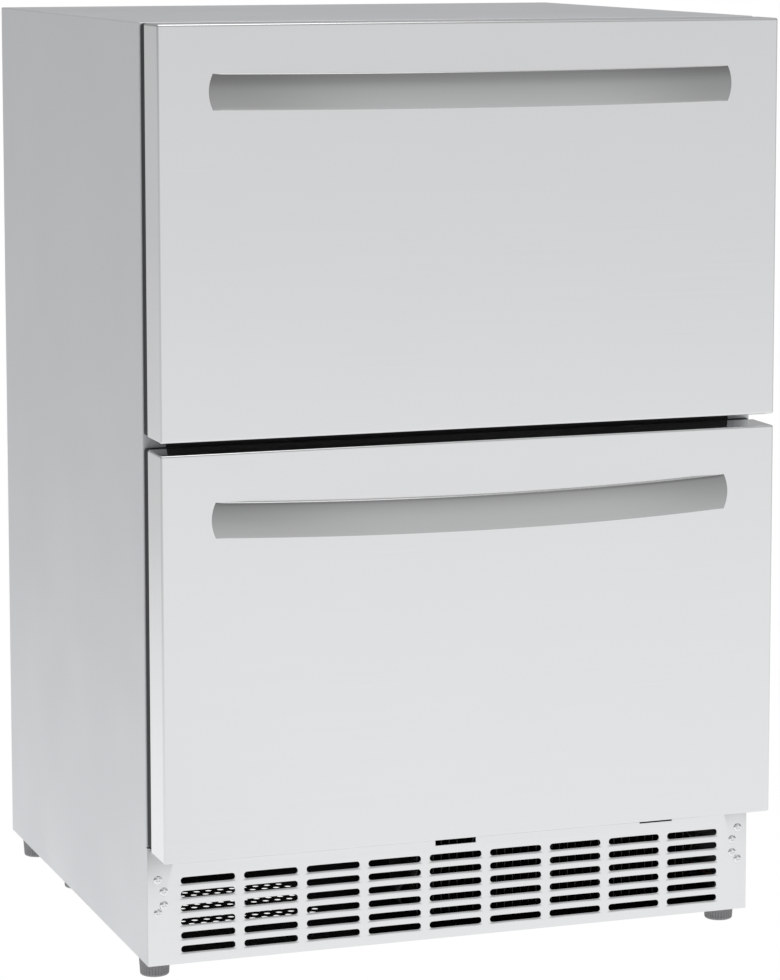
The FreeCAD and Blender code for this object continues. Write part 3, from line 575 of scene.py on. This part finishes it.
def outline_points(first, second):
    """Outline of a flat strip between two level edges, each given as places along and a level."""
    (along, level), (back, far) = first, second
    there = np.stack([along, np.full(len(along), level)], -1)
    again = np.stack([back[::-1], np.full(len(back), far)], -1)
    return np.concatenate([there, again])


def plate_points(flat, y):
    """Points of a flat sheet at one depth, from their (x, z)."""
    return np.stack([flat[:, 0], np.full(len(flat), y), flat[:, 1]], -1)


def face_forward(piece):
    """Turns an open sheet so that its outside looks towards -Y."""
    if piece.data.polygons[0].normal.y > 0:
        piece.data.flip_normals()


# ---------------------------------------------------------------- drawer fronts
def drawer_face(name, sizes):
    """Folded pan: round-cornered loops run from the back edge forward, round the front bend to
    the flat face, then back inside at the sheet's thickness."""
    low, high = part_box(f"{name}_front_skin")
    r, sheet = sizes.front_bend, 1 * MM
    guard = r + 0.8 * MM
    profile = [(sheet, high.y), (0, high.y), (0, low.y + guard)]
    profile += bend(r, (r, low.y + r), 180, 270, 8)
    profile += [(guard, low.y)]
    outside = loop_shell(profile, (low.x, low.z), (high.x, high.z), r * 1.2, cap_end=True)
    inner = [(sheet, high.y), (sheet, low.y + sheet)]
    inside = loop_shell(inner, (low.x, low.z), (high.x, high.z), r * 1.2, cap_end=True)
    return build_piece(f"{name}_drawer_face", [outside, inside], 25)


def bow_handle(name, sizes):
    """Bowed bar. Along it, x runs between the points where the crowned outer arc meets the
    drawer's face; across it, a round-cornered loop runs up the outer arc's face, over the top,
    down the inner arc (or the drawer's face past the inner arc's ends) and back underneath.
    Outer arc: y = centre - sqrt((R - crown * h^2)^2 - x^2), where h is the height over half."""
    low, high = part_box(f"{name}_handle")
    face = high.y
    level, half = (low.z + high.z) / 2, (high.z - low.z) / 2
    proud, reach = face - low.y, (high.x - low.x) / 2
    radius = (reach**2 + proud**2) / (2 * proud)
    gap_half, gap = sizes.handle_gap_width / 2, sizes.handle_gap_depth
    gap_radius = (gap_half**2 + gap**2) / (2 * gap)
    edge = sizes.handle_edge
    turn = np.linspace(0, math.pi / 2, 6)
    rise = np.linspace(-1, 1, 17) * (half - edge)
    front = [(edge * (1 - math.sin(t)), -half + edge * (1 - math.cos(t))) for t in turn]
    front += [(0.0, z) for z in rise[1:-1]]
    front += [(edge * (1 - math.cos(t)), half - edge * (1 - math.sin(t))) for t in turn]
    section = np.array(front)
    depth = np.concatenate([section[:, 0], section[::-1, 0]])[None, :]
    height = np.concatenate([section[:, 1], section[::-1, 1]])[None, :]
    is_front = (np.arange(depth.shape[1]) < len(section))[None, :]
    along = np.sin(np.linspace(-math.pi / 2, math.pi / 2, sizes.handle_steps))[:, None]
    ring = radius - sizes.handle_crown * (height / half) ** 2
    end = np.sqrt(ring**2 - (radius - proud) ** 2)
    x = along * end
    outer = face - proud + radius - np.sqrt(ring**2 - x**2)
    hollow = np.sqrt(gap_radius**2 - np.minimum(np.abs(x), gap_half) ** 2)
    inner = face - gap + gap_radius - hollow
    slim = np.clip((inner - outer) / (2.5 * edge), 0, 1)
    y = np.where(is_front, outer + depth * slim, inner - depth * slim)
    points = np.stack([x, np.minimum(y, face), level + height + 0 * x], -1)
    rows, columns = x.shape
    faces = [grid_quads(rows, columns, close_columns=True)]
    return build_piece(f"{name}_bow_handle", [(points.reshape(-1, 3), faces)], 30)


def finish_back(piece):
    """Gives the unbrushed steel, whose near-white tone is partly painted light, to the faces that
    don't look forward.
    """
    piece.data.materials.append(finish_of(rolled_and_lit_stainless_back))
    normals = np.empty(len(piece.data.polygons) * 3)
    piece.data.polygons.foreach_get("normal", normals)
    bare = (normals.reshape(-1, 3)[:, 1] > -0.5).astype(np.int32)
    piece.data.polygons.foreach_set("material_index", bare)


def door_seal(name):
    """Magnetic seal: a dart-foot, a waisted bellows and a flat magnet strip, as one closed
    profile carried round the drawer's back; the bellows' bulge is a sine wave of its depth."""
    low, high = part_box(f"{name}_gasket")
    width, deep = 14 * MM, high.y - low.y
    t = np.linspace(0, 1, 9)
    bellows = 1.5 * MM + 1.0 * MM * np.cos(4 * math.pi * t)
    levels = low.y + 0.8 * MM + (deep - 3.4 * MM) * t
    outer = [(2.2 * MM, low.y)] + list(zip(bellows, levels))
    magnet = ((0.6, 2.2), (0.0, 1.6), (0.0, 0.6), (0.6, 0.0))
    outer += [(inset * MM, high.y - up * MM) for inset, up in magnet]
    inner = [(width - inset, y) for inset, y in reversed(outer)]
    profile = outer + inner
    points, faces = loop_shell(profile + profile[:1], (low.x, low.z), (high.x, high.z), 3 * MM)
    return build_piece(f"{name}_magnetic_seal", [(points, faces)], 50)


def drawer_bin(name, sizes):
    """Pressed drawer box in 2 mm sheet: the top one has one floor, the bottom one two."""
    low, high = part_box(f"{name}_drawer_box")
    if name == "top":
        return build_piece("top_drawer_bin", [level_bin(low, high, 2 * MM, sizes)], 30)
    return build_piece("bottom_drawer_bin", stepped_bin(low, high, 2 * MM, sizes), 30)


def level_bin(low, high, wall, sizes):
    """Top box: round-cornered loops run up the outside from the floor, over a rolled rim and down
    the inside to the floor, with a quarter circle where wall and floor meet."""
    foot, rim = sizes.bin_corner * 0.6, 1.0 * MM
    turns = np.linspace(0.15, math.pi / 2, 7)
    profile = [(foot - 0.001 * MM, low.z)]
    profile += [(foot - foot * math.sin(t), low.z + foot - foot * math.cos(t)) for t in turns]
    profile += [(0, high.z - rim)] + bend(rim, (rim, high.z - rim), 180, 0, 7)
    profile += [(wall, low.z + wall + foot)]
    profile += [(wall + foot - foot * math.cos(t), low.z + wall + foot - foot * math.sin(t))
                for t in turns]
    return loop_shell(profile, (low.x, low.y), (high.x, high.y), sizes.bin_corner, "z", True, True)


def stepped_bin(low, high, wall, sizes):
    """Bottom box with its floor raised at the back. The floor line in Y and Z, offset by the wall
    for the inside, is carried across the width, and its sides stand up to the rim."""
    step_y, step_z = low.y + 278 * MM, low.z + 68 * MM
    r = sizes.bin_corner * 0.6
    shells, rim = [], []
    for inset in (0.0, wall):
        front, back, half = low.y + inset, high.y - inset, high.x - inset
        step = step_y - inset
        outline = [(front, high.z), (front, low.z + inset), (step, low.z + inset),
                   (step, step_z + inset), (back, step_z + inset), (back, high.z)]
        line = softened(outline, r + wall - inset)
        sides = [np.insert(line, 0, x, axis=1) for x in (-half, half)]
        shells.append((np.concatenate(sides), [grid_quads(2, len(line))]))
        shells += [(side, [np.arange(len(side))[None, :]]) for side in sides]
        rim += [(-half, front), (half, front), (half, back), (-half, back)]
    shells.append((np.insert(rim, 2, high.z, axis=1), [grid_quads(2, 4, close_columns=True)]))
    return shells


def softened(outline, radius, steps=5):
    """An open line with its inner corners replaced by quadratic curves that start and end one
    radius from the corner."""
    points = np.array(outline, float)
    soft = [points[:1]]
    t = np.linspace(0, 1, steps)[:, None]
    for before, corner, after in zip(points, points[1:], points[2:]):
        start = corner + (before - corner) / np.linalg.norm(before - corner) * radius
        end = corner + (after - corner) / np.linalg.norm(after - corner) * radius
        soft.append((1 - t) ** 2 * start + 2 * t * (1 - t) * corner + t**2 * end)
    soft.append(points[-1:])
    return np.concatenate(soft)


# ---------------------------------------------------------------- small parts
def levelling_foot(node, sizes):
    """Ridged foot and its stud, turned about Z: the radius follows a tapered profile, and over
    the ridged part it dips by the groove depth times a raised power of a cosine."""
    low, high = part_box(node)
    centre = np.array([(low.x + high.x) / 2, (low.y + high.y) / 2])
    body_top, wide, narrow, stud = 16 * MM, 14.4 * MM, 13.4 * MM, 4 * MM
    ridge_low, ridge_high = 3.2 * MM, 14.4 * MM
    profile = [(0, 0), (narrow - 2.4 * MM, 0)]
    profile += bend(1.6 * MM, (narrow - 1.6 * MM, 1.6 * MM), 285, 350, 5)
    profile += [(narrow, 2.2 * MM), (narrow + 0.1 * MM, ridge_low), (wide - 0.1 * MM, ridge_high),
                (wide, 15.2 * MM), (wide - 0.7 * MM, 15.9 * MM), (wide - 1.6 * MM, body_top)]
    profile += [(stud, body_top), (stud, high.z - 0.8 * MM), (stud - 0.8 * MM, high.z), (0, high.z)]
    radii, levels = np.array(profile).T
    ridged = np.isin(levels, (ridge_low, ridge_high))
    turn = np.linspace(0, 2 * math.pi, sizes.foot_ridges * 6, endpoint=False)[None, :]
    groove = sizes.foot_groove * (0.5 - 0.5 * np.cos(sizes.foot_ridges * turn)) ** 1.5
    ring = radii[:, None] - groove * ridged[:, None]
    x, y = centre[0] + ring * np.cos(turn), centre[1] + ring * np.sin(turn)
    points = np.stack([x, y, levels[:, None] + 0 * x], -1)
    rows, columns = ring.shape
    faces = [grid_quads(rows, columns, close_columns=True)]
    return build_piece(f"{node}_ridged", [(points.reshape(-1, 3), faces)], 50)


def screw_head(centre, face, outward):
    """Round head with a cross recess. Height over the face is half an ellipsoid, less a smooth
    dip where the point lies within half a blade of either arm of the cross."""
    radius, tall, arm, blade = 4.1 * MM, 1.9 * MM, 2.0 * MM, 0.45 * MM
    recess_depth, rounding = 0.7 * MM, 0.12 * MM
    share = np.concatenate([[0], np.linspace(0.08, 1, 13)])[:, None]
    turn = np.linspace(0, 2 * math.pi, 48, endpoint=False)[None, :]
    a, b = radius * share * np.cos(turn), radius * share * np.sin(turn)
    dome = tall * np.sqrt(np.clip(1 - share**2, 0, 1)) + 0 * turn

    def inside(along, across):
        wide = 1 / (1 + np.exp((np.abs(across) - blade) / rounding))
        long = 1 / (1 + np.exp((np.abs(along) - arm) / rounding))
        return wide * long

    recess = np.maximum(inside(a, b), inside(b, a))
    height = dome - recess_depth * recess * (share < 0.95)
    y = face + outward * height
    points = np.stack([centre[0] + a, y, centre[1] + b], -1)
    rows, columns = points.shape[:2]
    back = np.arange(columns) + (rows - 1) * columns
    return points.reshape(-1, 3), [grid_quads(rows, columns, close_columns=True), back[None, :]]


def panel_screw_heads():
    """The heads of the grille's eight screws and of the rear cover's eight."""
    grille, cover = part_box("front_grille"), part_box("rear_vent_cover")
    front = [(side * x * MM, z * MM) for x, z in GRILLE_SCREWS for side in (-1, 1)]
    rear = [(x * MM, z * MM) for x in COVER_SCREWS_ACROSS for z in COVER_SCREWS_UP]
    shells = [screw_head(centre, grille[0].y, -1) for centre in front]
    shells += [screw_head(centre, cover[1].y, 1) for centre in rear]
    return build_piece("panel_screw_heads", shells, 40)


# ---------------------------------------------------------------- settings
def length_setting(name, description, millimetres, **limits):
    """A length property with its default given in millimetres."""
    return FloatProperty(
        name=name, description=description, default=millimetres * MM, unit="LENGTH", **limits)


class FridgeSizes(bpy.types.PropertyGroup):
    sheet_bend: length_setting(
        "Cabinet Bend", "Outside radius of the cabinet sheet's bends", 1.2, min=0.001, max=0.01)
    front_bend: length_setting(
        "Drawer Front Bend", "Outside radius of the drawer fronts' folded edges", 1.8,
        min=0.001, max=0.01)
    slot_columns: IntProperty(
        name="Slot Columns", description="Slots across the grille", default=9, min=1, max=20)
    slot_rows: IntProperty(
        name="Slot Rows", description="Slots down the grille", default=6, min=1, max=12)
    slot_pitch_across: length_setting(
        "Slot Pitch Across", "Distance from one slot to the next across", 60.15)
    slot_pitch_down: length_setting(
        "Slot Pitch Down", "Distance from one slot to the next down", 12.8)
    slot_top_row: length_setting(
        "Top Row Height", "Height of the top row's middle over the floor", 93.6)
    slot_length: length_setting("Slot Length", "A slot's length, round ends included", 51.4)
    slot_height: length_setting("Slot Height", "A slot's height", 6)
    handle_gap_width: length_setting("Hand Space Width", "Width of the space behind a handle", 430)
    handle_gap_depth: length_setting(
        "Hand Space Depth", "Depth of the space behind a handle's middle", 30)
    handle_crown: length_setting(
        "Handle Crown", "How much a handle's face bulges between its edges", 1.15)
    handle_edge: length_setting("Handle Edge", "Radius of a handle's long edges", 1.1)
    handle_steps: IntProperty(
        name="Handle Steps", description="Rows of points along a handle", default=97, min=9)
    bin_corner: length_setting("Box Corner", "Radius of a drawer box's upright corners", 14)
    foot_ridges: IntProperty(
        name="Foot Ridges", description="Grip ridges round a foot", default=30, min=6)
    foot_groove: length_setting("Foot Groove", "Depth of the grooves between a foot's ridges", 1.0)


def colour_setting(name, description, hex_colour):
    """A colour property with its default given as sRGB hex."""
    return FloatVectorProperty(
        name=name, description=description, default=linear(hex_colour), size=3, min=0, max=1,
        subtype="COLOR")


class FridgeFinish(bpy.types.PropertyGroup):
    front_steel: colour_setting("Front Steel", "Satin steel of drawer fronts and grille", "#DEDFE0")
    handle_steel: colour_setting("Handle Steel", "Brushed steel of the handles", "#B0B1B1")
    # The handles' bare steel is near white partly as painted light, lightening their back, top and
    # bottom faces.
    bare_and_lit_steel: colour_setting("Bare Steel", "Unbrushed faces of the handles", "#F3F3F3")
    cabinet_coat: colour_setting("Cabinet Coat", "Coated sheet of sides and top", "#DADCDF")
    bin_steel: colour_setting("Box Steel", "Pressed steel of the drawer boxes", "#CDCDCB")
    zinc: colour_setting("Zinc", "Galvanised sheet and plated rails", "#A9ADB0")
    screw_steel: colour_setting("Screw Steel", "Nickel-plated screws", "#E8E9EA")
    black_paint: colour_setting("Black Paint", "Base pan, compressor and condenser", "#151515")
    black_plastic: colour_setting("Black Plastic", "Mullion, shroud, motors and inlet", "#141414")
    gasket_grey: colour_setting("Seal Grey", "Magnetic drawer seals", "#3E4042")
    foot_grey: colour_setting("Foot Grey", "Levelling feet", "#8E8E90")
    liner_white: colour_setting("Liner White", "Liner and inner panels", "#EDEEF0")
    control_white: colour_setting("Control White", "Thermostat, knob and fan wheel", "#E6E5E0")
    copper: colour_setting("Copper", "Refrigerant lines and drier", "#B87355")
    fin_aluminium: colour_setting("Fin Aluminium", "Evaporator coil", "#C9CBCD")
    foam_yellow: colour_setting("Foam", "Insulation", "#DCCB95")


# ---------------------------------------------------------------- operators
class FRIDGE_OT_cabinet_shell(bpy.types.Operator):
    """Make the wrapped cabinet sheet with its front flanges"""
    bl_idname = "fridge.cabinet_shell"
    bl_label = "Cabinet Shell"

    def execute(self, context):
        piece = cabinet_shell(context.scene.fridge_sizes)
        hand_over(piece, coated_cabinet_steel, "cabinet", "stainless_cabinet", "outer_wrapper")
        return {"FINISHED"}


class FRIDGE_OT_front_grille(bpy.types.Operator):
    """Make the punched grille plate at the cabinet's foot"""
    bl_idname = "fridge.front_grille"
    bl_label = "Front Grille"

    def execute(self, context):
        piece = front_grille(context.scene.fridge_sizes)
        hand_over(piece, satin_stainless_front, "cabinet", "stainless_front", "front_grille")
        return {"FINISHED"}


class FRIDGE_OT_panel_screws(bpy.types.Operator):
    """Make the pan-head screws of the grille and the rear cover"""
    bl_idname = "fridge.panel_screws"
    bl_label = "Panel Screws"

    def execute(self, context):
        hand_over(panel_screw_heads(), nickel_screw, "cabinet", "screw_steel", "panel_screws")
        return {"FINISHED"}


class FRIDGE_OT_drawer_fronts(bpy.types.Operator):
    """Make both drawer fronts' folded faces and their magnetic seals"""
    bl_idname = "fridge.drawer_fronts"
    bl_label = "Drawer Fronts"

    def execute(self, context):
        for name in DRAWERS:
            body = f"{name}_drawer"
            face = drawer_face(name, context.scene.fridge_sizes)
            hand_over(face, satin_stainless_front, body, "stainless_front", f"{name}_front_skin")
            hand_over(door_seal(name), gasket_pvc, body, "gasket_rubber", f"{name}_gasket")
        return {"FINISHED"}


class FRIDGE_OT_handles(bpy.types.Operator):
    """Make both bow handles"""
    bl_idname = "fridge.handles"
    bl_label = "Bow Handles"

    def execute(self, context):
        for name in DRAWERS:
            piece = bow_handle(name, context.scene.fridge_sizes)
            hand_over(piece, brushed_stainless_handle, f"{name}_drawer", "stainless_handle",
                      f"{name}_handle")
            finish_back(piece)
            piece.visible_glossy = False
        return {"FINISHED"}


class FRIDGE_OT_drawer_boxes(bpy.types.Operator):
    """Make both pressed drawer boxes"""
    bl_idname = "fridge.drawer_boxes"
    bl_label = "Drawer Boxes"

    def execute(self, context):
        for name in DRAWERS:
            piece = drawer_bin(name, context.scene.fridge_sizes)
            hand_over(piece, drawer_bin_steel, f"{name}_drawer", "stainless_cabinet",
                      f"{name}_drawer_box")
        return {"FINISHED"}


class FRIDGE_OT_feet(bpy.types.Operator):
    """Make the six ridged levelling feet"""
    bl_idname = "fridge.feet"
    bl_label = "Levelling Feet"

    def execute(self, context):
        for row in FOOT_ROWS:
            for hand in HANDS:
                node = f"foot_{row}_{hand}"
                piece = levelling_foot(node, context.scene.fridge_sizes)
                hand_over(piece, foot_nylon, node, "foot_plastic", node)
        return {"FINISHED"}


CARRIED_NODES = {
    galvanised_sheet: ("rear_panel", "rear_vent_cover", "compartment_roof"),
    powder_black: ("base_pan",),
    rigid_foam: ("foam_insulation", "top_front_core", "bottom_front_core"),
    white_hips: ("inner_liner", "evaporator_cover", "top_front_inner", "bottom_front_inner"),
    black_abs: (
        "centre_mullion", "compressor_terminal_cover", "condenser_fan_motor",
        "condenser_fan_shroud", "condenser_fan_blade", "drain_pan", "power_inlet",
        "evaporator_fan_motor",
    ),
    black_enamel: ("compressor", "condenser_coil"),
    mount_rubber: ("compressor_mounts",),
    drawn_copper: ("filter_drier", "refrigerant_lines"),
    aluminium_fin: ("evaporator_coil",),
    light_diffuser: ("interior_light",),
    white_abs: ("control_housing", "control_knob", "evaporator_fan_blade"),
    nickel_screw: ("top_handle_screws", "bottom_handle_screws"),
    zinc_plated_rail: tuple(
        f"{name}_{member}_rail_{hand}"
        for name in DRAWERS for member in ("cabinet", "middle", "drawer") for hand in HANDS
    ),
}


class FRIDGE_OT_carried_parts(bpy.types.Operator):
    """Give every part whose CAD shape is kept its real finish"""
    bl_idname = "fridge.carried_parts"
    bl_label = "Carried Parts"

    def execute(self, context):
        for maker, nodes in CARRIED_NODES.items():
            for node in nodes:
                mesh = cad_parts[node].data
                mesh.materials.clear()
                mesh.materials.append(finish_of(maker))
        return {"FINISHED"}


class FRIDGE_OT_studio(bpy.types.Operator):
    """Make the floor, the room, the light and the camera"""
    bl_idname = "fridge.studio"
    bl_label = "Studio"

    def execute(self, context):
        make_floor()
        make_sky(context.scene)
        make_light()
        make_camera(context.scene)
        context.scene.view_settings.view_transform = "Standard"
        return {"FINISHED"}


# ---------------------------------------------------------------- studio
def make_floor():
    """A broad white sheet under the fridge."""
    half = 8.0
    corners = [(-half, -half, 0), (half, -half, 0), (half, half, 0), (-half, half, 0)]
    mesh = bpy.data.meshes.new("studio_floor")
    mesh.from_pydata(corners, [], [(0, 1, 2, 3)])
    mesh.materials.append(studio_white())
    floor = bpy.data.objects.new("studio_floor", mesh)
    bpy.context.scene.collection.objects.link(floor)


def make_sky(scene):
    """White to the camera. To everything else it is a soft room: brighter low down, and darker
    overhead and towards the back."""
    world = bpy.data.worlds.new("studio_room")
    world.use_nodes = True
    tree = world.node_tree
    tree.nodes.clear()
    place = add_node(tree, "TexCoord").outputs["Generated"]
    up = add_node(tree, "SeparateXYZ", (), {"Vector": place}).outputs["Z"]
    height = add_node(tree, "MapRange", {"From Min": -1.0, "From Max": 1.0}, {"Value": up})
    greys = ((0.44, 0.90), (0.50, 0.86), (0.56, 0.46), (0.78, 0.50), (1.0, 1.10))
    stops = [(position, (grey, grey, grey)) for position, grey in greys]
    bands = add_node(tree, "ValToRGB", (), {"Fac": height.outputs[0]}, stops).outputs["Color"]
    side = key_side(tree, place)
    tone = add_node(tree, "Math", (), {0: bands, 1: side}, operation="MULTIPLY")
    seen_white(tree, "Background", "OutputWorld", tone.outputs[0])
    scene.world = world


def make_light():
    """One large soft box overhead, a little in front."""
    place, target = Vector((-0.2, -0.6, 3.2)), Vector((0.0, 0.0, 0.5))
    light = bpy.data.lights.new("overhead_box", "AREA")
    light.shape = "SQUARE"
    light.size = 2.0
    light.energy = 16.0
    lamp = bpy.data.objects.new("overhead_box", light)
    lamp.location = place
    lamp.rotation_euler = (target - place).to_track_quat("-Z", "Y").to_euler()
    bpy.context.scene.collection.objects.link(lamp)


def make_camera(scene):
    """A long lens a little left of the middle and just above the top, aimed slightly down, with
    the frame moved up so that upright edges stay nearly upright."""
    data = bpy.data.cameras.new("camera")
    data.sensor_width = 36.0
    data.lens = 134.47
    data.shift_x = -0.0318
    data.shift_y = -0.1399
    data.clip_end = 100.0
    camera = bpy.data.objects.new("camera", data)
    camera.location = (-1.1496, -3.3541, 0.9707)
    camera.rotation_euler = (math.pi / 2 - 0.1205, 0.0, -0.342)
    scene.collection.objects.link(camera)
    scene.camera = camera


# ---------------------------------------------------------------- panel and registration
PIECE_OPERATORS = (
    FRIDGE_OT_cabinet_shell, FRIDGE_OT_front_grille, FRIDGE_OT_panel_screws,
    FRIDGE_OT_drawer_fronts, FRIDGE_OT_handles, FRIDGE_OT_drawer_boxes, FRIDGE_OT_feet,
    FRIDGE_OT_carried_parts, FRIDGE_OT_studio,
)


class FRIDGE_PT_panel(bpy.types.Panel):
    """Lists the fridge's pieces and settings"""
    bl_label = "Drawer Fridge"
    bl_idname = "FRIDGE_PT_panel"
    bl_space_type = "VIEW_3D"
    bl_region_type = "UI"
    bl_category = "Drawer Fridge"

    def draw(self, context):
        for operator in PIECE_OPERATORS:
            self.layout.operator(operator.bl_idname)
        for group in (context.scene.fridge_sizes, context.scene.fridge_finish):
            box = self.layout.box()
            for name in group.__annotations__:
                box.prop(group, name)


CLASSES = (FridgeSizes, FridgeFinish, *PIECE_OPERATORS, FRIDGE_PT_panel)


def register():
    for item in CLASSES:
        bpy.utils.register_class(item)
    bpy.types.Scene.fridge_sizes = PointerProperty(type=FridgeSizes)
    bpy.types.Scene.fridge_finish = PointerProperty(type=FridgeFinish)


def unregister():
    del bpy.types.Scene.fridge_finish
    del bpy.types.Scene.fridge_sizes
    for item in reversed(CLASSES):
        bpy.utils.unregister_class(item)


def main():
    register()
    for operator in PIECE_OPERATORS:
        group, action = operator.bl_idname.split(".")
        getattr(getattr(bpy.ops, group), action)()


if __name__ == "__main__":
    main()
